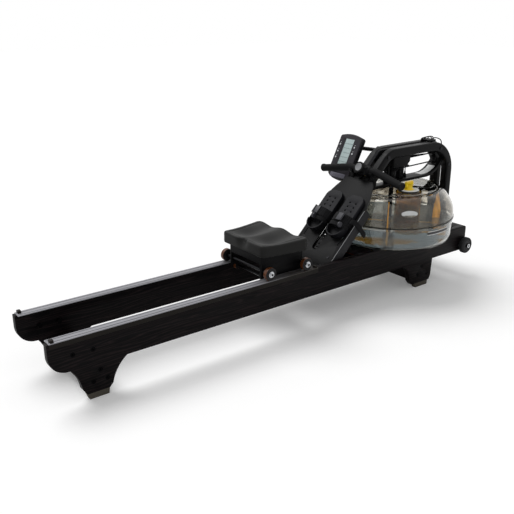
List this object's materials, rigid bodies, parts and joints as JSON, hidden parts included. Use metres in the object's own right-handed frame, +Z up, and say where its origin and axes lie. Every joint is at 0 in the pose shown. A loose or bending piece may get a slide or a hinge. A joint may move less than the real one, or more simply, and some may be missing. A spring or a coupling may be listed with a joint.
{
  "type": "rowing machine",
  "caption": "Water rowing machine on stained wooden rails, with a rolling seat, a sliding-shoe footboard, a pull handle, a clear water tank with a paddle wheel and a tilting monitor",
  "frame": {"origin": "middle of the footprint, on the floor under the middle of the machine's length and width", "axes": "+X from the seat towards the tank, +Y to the rower's left, +Z up"},
  "size_m": [2.086, 0.561, 0.6706],
  "materials": {
    "ash_stained": "open-grain ash, near-black stain under satin lacquer",
    "cap_metal": "grey rolled running strip",
    "trim_black": "dark strip beside the running surface",
    "pad_rubber": "moulded grey-beige rubber",
    "bolt_steel": "dark countersunk furniture bolts",
    "chrome_steel": "polished plated steel",
    "black_steel": "black satin powder coat",
    "black_coat": "black satin powder coat, fine orange peel",
    "black_plastic": "moulded black nylon, fine spark texture",
    "tank_shell": "clear moulded polycarbonate with a smoke tint",
    "chamber_shell": "clear moulded polycarbonate, faint yellow",
    "seal_rubber": "dark moulded gasket",
    "dial_plate": "pale grey moulded plate",
    "dial_yellow": "yellow moulded knob",
    "paddle_amber": "amber moulded blades",
    "belt_web": "black woven belt",
    "cord_weave": "elastic cord in a black woven jacket",
    "grip_foam": "black closed-cell foam sleeve",
    "seat_foam": "black moulded skin foam",
    "carriage_plastic": "moulded black carriage",
    "roller_amber": "brown polyurethane tyre on a dark hub",
    "wheel_rubber": "grey-black moulded tyre",
    "console_case": "lavender-grey moulded casing",
    "console_bezel": "dark grey-brown moulded bezel",
    "screen_clear": "pale blue-green liquid crystal behind a clear window",
    "button_rubber": "soft dark keys",
    "shoe_plastic": "dark grey moulded shoe",
    "strap_web": "black woven webbing",
    "buckle_grey": "pale grey moulded cam lever"
  },
  "bodies": {
    "frame": {"rail_left": "ash_stained", "rail_right": "ash_stained", "rail_caps": "cap_metal", "rail_trims": "trim_black", "rear_crossbeam": "ash_stained", "front_crossbeam": "ash_stained", "tank_deck": "ash_stained", "foot_pads": "pad_rubber", "frame_bolts": "bolt_steel", "footboard": "black_steel", "handle_rest": "black_plastic", "arch_arm_left": "black_coat", "arch_arm_right": "black_coat", "arch_pins": "bolt_steel", "arch_foot": "ash_stained", "drum_housing": "black_plastic", "tank_brace_front": "black_coat", "tank_brace_rear": "black_coat", "tank_base": "tank_shell", "tank_dome": "tank_shell", "tank_seals": "seal_rubber", "level_chamber": "chamber_shell", "level_plate": "dial_plate", "shaft_bearings": "chrome_steel", "drive_belt": "belt_web", "bungee_cord": "cord_weave", "console_arm": "black_coat"},
    "seat": {"seat_pad": "seat_foam", "seat_carriage": "carriage_plastic", "seat_axles": "chrome_steel"},
    "rollers_rear": {"seat_rollers_rear": "roller_amber"},
    "rollers_front": {"seat_rollers_front": "roller_amber"},
    "rollers_guide": {"guide_rollers": "roller_amber"},
    "handle": {"handle_bar": "bolt_steel", "handle_grips": "grip_foam", "handle_hub": "black_plastic"},
    "impeller": {"impeller_shaft": "chrome_steel", "impeller_paddles": "paddle_amber"},
    "drum": {"belt_drum": "black_plastic"},
    "pulley_front": {"belt_pulley_front": "black_plastic"},
    "pulley_rear": {"belt_pulley_rear": "black_plastic"},
    "pulley_cord": {"bungee_pulley": "black_plastic"},
    "dial": {"level_dial": "dial_yellow"},
    "console": {"console_back": "console_case", "console_front": "console_bezel", "console_lens": "screen_clear"},
    "wheel_left": {"transport_wheel_left": "wheel_rubber"},
    "wheel_right": {"transport_wheel_right": "wheel_rubber"},
    "shoe_left": {"foot_plate_left": "shoe_plastic", "strap_left": "strap_web"},
    "shoe_right": {"foot_plate_right": "shoe_plastic", "strap_right": "strap_web"},
    "lever_left": {"buckle_left": "buckle_grey"},
    "lever_right": {"buckle_right": "buckle_grey"},
    "key_1": {"button_1": "button_rubber"},
    "key_2": {"button_2": "button_rubber"},
    "key_3": {"button_3": "button_rubber"},
    "key_4": {"button_4": "button_rubber"},
    "key_5": {"button_5": "button_rubber"}
  },
  "joints": [
    {"name": "seat_slide", "type": "slide", "parent": "frame", "child": "seat", "axis": [1, 0, 0], "range_m": [-0.8, 0.012]},
    {"name": "roller_rear_spin", "type": "hinge", "parent": "seat", "child": "rollers_rear", "pos_m": [-0.165, 0, 0.2613], "axis": [0, 1, 0], "range_deg": [-1900, 60]},
    {"name": "roller_front_spin", "type": "hinge", "parent": "seat", "child": "rollers_front", "pos_m": [0.017, 0, 0.2613], "axis": [0, 1, 0], "range_deg": [-1900, 60]},
    {"name": "roller_guide_spin", "type": "hinge", "parent": "seat", "child": "rollers_guide", "pos_m": [-0.131, 0, 0.2167], "axis": [0, 1, 0], "range_deg": [-60, 2950]},
    {"name": "handle_pull", "type": "slide", "parent": "frame", "child": "handle", "axis": [-1, 0, 0], "range_m": [0, 1.3], "deforming": ["drive_belt", "bungee_cord"]},
    {"name": "drum_spin", "type": "hinge", "parent": "frame", "child": "drum", "pos_m": [0.641, 0, 0.56], "axis": [0, 0, 1], "range_deg": [-2400, 20]},
    {"name": "pulley_front_spin", "type": "hinge", "parent": "frame", "child": "pulley_front", "pos_m": [0.557, 0, 0.6], "axis": [0, 1, 0], "range_deg": [-2800, 20]},
    {"name": "pulley_rear_spin", "type": "hinge", "parent": "frame", "child": "pulley_rear", "pos_m": [0.907, 0, 0.6], "axis": [0, 1, 0], "range_deg": [-2800, 20]},
    {"name": "pulley_cord_spin", "type": "hinge", "parent": "frame", "child": "pulley_cord", "pos_m": [0.975, 0, 0.52], "axis": [0, 1, 0], "range_deg": [-3500, 20]},
    {"name": "impeller_spin", "type": "hinge", "parent": "frame", "child": "impeller", "pos_m": [0.641, 0, 0.4], "axis": [0, 0, 1], "continuous": true},
    {"name": "dial_turn", "type": "hinge", "parent": "frame", "child": "dial", "pos_m": [0.625, -0.115, 0.48], "axis": [0, 0, 1], "range_deg": [-150, 150]},
    {"name": "console_tilt", "type": "hinge", "parent": "frame", "child": "console", "pos_m": [0.54695, 0.1745, 0.55746], "axis": [0, 1, 0], "range_deg": [-8, 14]},
    {"name": "wheel_left_spin", "type": "hinge", "parent": "frame", "child": "wheel_left", "pos_m": [1.005, 0.164, 0.144], "axis": [0, 1, 0], "continuous": true},
    {"name": "shoe_left_slide", "type": "slide", "parent": "frame", "child": "shoe_left", "axis": [0.6997, 0, 0.7145], "range_m": [-0.03, 0.03]},
    {"name": "lever_left_turn", "type": "hinge", "parent": "shoe_left", "child": "lever_left", "pos_m": [0.25687, 0.084, 0.39865], "axis": [-0.6997, 0, -0.7145], "range_deg": [0, 80]},
    {"name": "wheel_right_spin", "type": "hinge", "parent": "frame", "child": "wheel_right", "pos_m": [1.005, -0.164, 0.144], "axis": [0, 1, 0], "continuous": true},
    {"name": "shoe_right_slide", "type": "slide", "parent": "frame", "child": "shoe_right", "axis": [0.6997, 0, 0.7145], "range_m": [-0.03, 0.03]},
    {"name": "lever_right_turn", "type": "hinge", "parent": "shoe_right", "child": "lever_right", "pos_m": [0.25687, -0.084, 0.39865], "axis": [0.6997, 0, 0.7145], "range_deg": [0, 80]},
    {"name": "key_1_press", "type": "slide", "parent": "console", "child": "key_1", "axis": [0.8988, 0, -0.4384], "range_m": [0, 0.0012], "stiffness_N_per_m": 600, "springref_m": -0.0004},
    {"name": "key_2_press", "type": "slide", "parent": "console", "child": "key_2", "axis": [0.8988, 0, -0.4384], "range_m": [0, 0.0012], "stiffness_N_per_m": 600, "springref_m": -0.0004},
    {"name": "key_3_press", "type": "slide", "parent": "console", "child": "key_3", "axis": [0.8988, 0, -0.4384], "range_m": [0, 0.0012], "stiffness_N_per_m": 600, "springref_m": -0.0004},
    {"name": "key_4_press", "type": "slide", "parent": "console", "child": "key_4", "axis": [0.8988, 0, -0.4384], "range_m": [0, 0.0012], "stiffness_N_per_m": 600, "springref_m": -0.0004},
    {"name": "key_5_press", "type": "slide", "parent": "console", "child": "key_5", "axis": [0.8988, 0, -0.4384], "range_m": [0, 0.0012], "stiffness_N_per_m": 600, "springref_m": -0.0004}
  ],
  "couplings": [
    {"joint": "roller_rear_spin", "follows": "seat_slide", "rad_per_m": 40},
    {"joint": "roller_front_spin", "follows": "seat_slide", "rad_per_m": 40},
    {"joint": "roller_guide_spin", "follows": "seat_slide", "rad_per_m": -62.5},
    {"joint": "drum_spin", "follows": "handle_pull", "rad_per_m": -30.2},
    {"joint": "pulley_front_spin", "follows": "handle_pull", "rad_per_m": -36.9},
    {"joint": "pulley_rear_spin", "follows": "handle_pull", "rad_per_m": -36.9},
    {"joint": "pulley_cord_spin", "follows": "handle_pull", "rad_per_m": -46}
  ]
}
